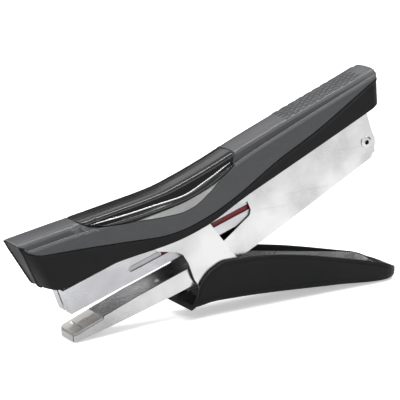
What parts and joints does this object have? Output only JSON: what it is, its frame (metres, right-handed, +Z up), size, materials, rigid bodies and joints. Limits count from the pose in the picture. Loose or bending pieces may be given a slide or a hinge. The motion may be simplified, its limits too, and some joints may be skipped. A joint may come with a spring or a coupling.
{
  "type": "plier stapler",
  "caption": "Plier-type hand stapler: squeezing the upper and lower handles closes the staple magazine and then the driver blade onto a narrow anvil arm.",
  "frame": {"origin": "on the surface that the stapler stands on, under the middle of its bounding box", "axes": "+X along the stapler from the nose to the rear, +Y across it, +Z up; the stapler stands on its anvil tip and on the rear foot of its lower handle"},
  "size_m": [0.2, 0.0276, 0.1059],
  "materials": {
    "plated_steel": "bright nickel-plated sheet steel",
    "anvil_steel": "satin hardened steel",
    "spring_steel": "oiled spring steel",
    "staple_wire": "glued staple wire",
    "grey_cover": "satin dark grey moulding",
    "black_plastic": "satin black moulding",
    "gloss_black": "polished black moulding",
    "chrome_trim": "mirror chrome plating",
    "silver_trim": "silver lacquer",
    "red_plastic": "dark red moulding"
  },
  "bodies": {
    "base": {"base_channel": "plated_steel", "anvil_plate": "anvil_steel", "anvil_rivet": "anvil_steel", "rear_pivot_rivet": "plated_steel", "lift_spring": "spring_steel", "lift_spring_rivet": "plated_steel"},
    "upper_handle": {"top_cover": "grey_cover", "side_skirt": "black_plastic", "inlay_panel": "gloss_black", "upper_lever": "plated_steel", "chrome_strip_right": "chrome_trim", "chrome_strip_left": "chrome_trim", "side_crescent_right": "silver_trim", "side_crescent_left": "silver_trim", "draw_rivet_right": "plated_steel", "draw_rivet_left": "plated_steel", "cover_screw_front": "spring_steel", "cover_screw_rear": "spring_steel", "driver_blade": "spring_steel", "blade_rivet_right": "plated_steel", "blade_rivet_left": "plated_steel"},
    "magazine": {"magazine_channel": "plated_steel", "staple_rail": "spring_steel", "rail_rivet_front": "plated_steel", "rail_rivet_rear": "plated_steel", "staple_strip": "staple_wire", "guide_rod": "spring_steel", "end_stop": "plated_steel", "end_stop_rivet": "plated_steel", "pusher_spring": "spring_steel"},
    "pusher": {"pusher_block": "red_plastic", "pusher_face": "plated_steel"},
    "lower_handle": {"lower_lever": "plated_steel", "handle_shell": "black_plastic", "bearing_pin": "plated_steel", "shell_rivet_front": "spring_steel", "shell_rivet_rear": "spring_steel", "handle_spring": "spring_steel", "handle_spring_rivet": "plated_steel"}
  },
  "joints": [
    {"name": "handle_hinge", "type": "hinge", "parent": "base", "child": "upper_handle", "pos_m": [0.0841, 0, 0.0705], "axis": [0, -1, 0], "range_deg": [0, 5.35], "stiffness_Nm_per_rad": 10, "springref_deg": -17.19, "deforming": ["handle_spring"]},
    {"name": "magazine_hinge", "type": "hinge", "parent": "base", "child": "magazine", "pos_m": [0.0841, 0, 0.0705], "axis": [0, -1, 0], "range_deg": [0, 2.85], "deforming": ["lift_spring"]},
    {"name": "lower_handle_hinge", "type": "hinge", "parent": "upper_handle", "child": "lower_handle", "pos_m": [-0.0296, 0, 0.0468], "axis": [0, -1, 0], "range_deg": [0, 23.6], "deforming": ["handle_spring"]},
    {"name": "pusher_slide", "type": "slide", "parent": "magazine", "child": "pusher", "axis": [-0.9558, 0, -0.294], "range_m": [0, 0.048], "deforming": ["staple_strip", "pusher_spring"]}
  ],
  "couplings": [
    {"joint": "magazine_hinge", "follows": "handle_hinge", "ratio": 0.5327},
    {"joint": "lower_handle_hinge", "follows": "handle_hinge", "ratio": 4.4}
  ]
}
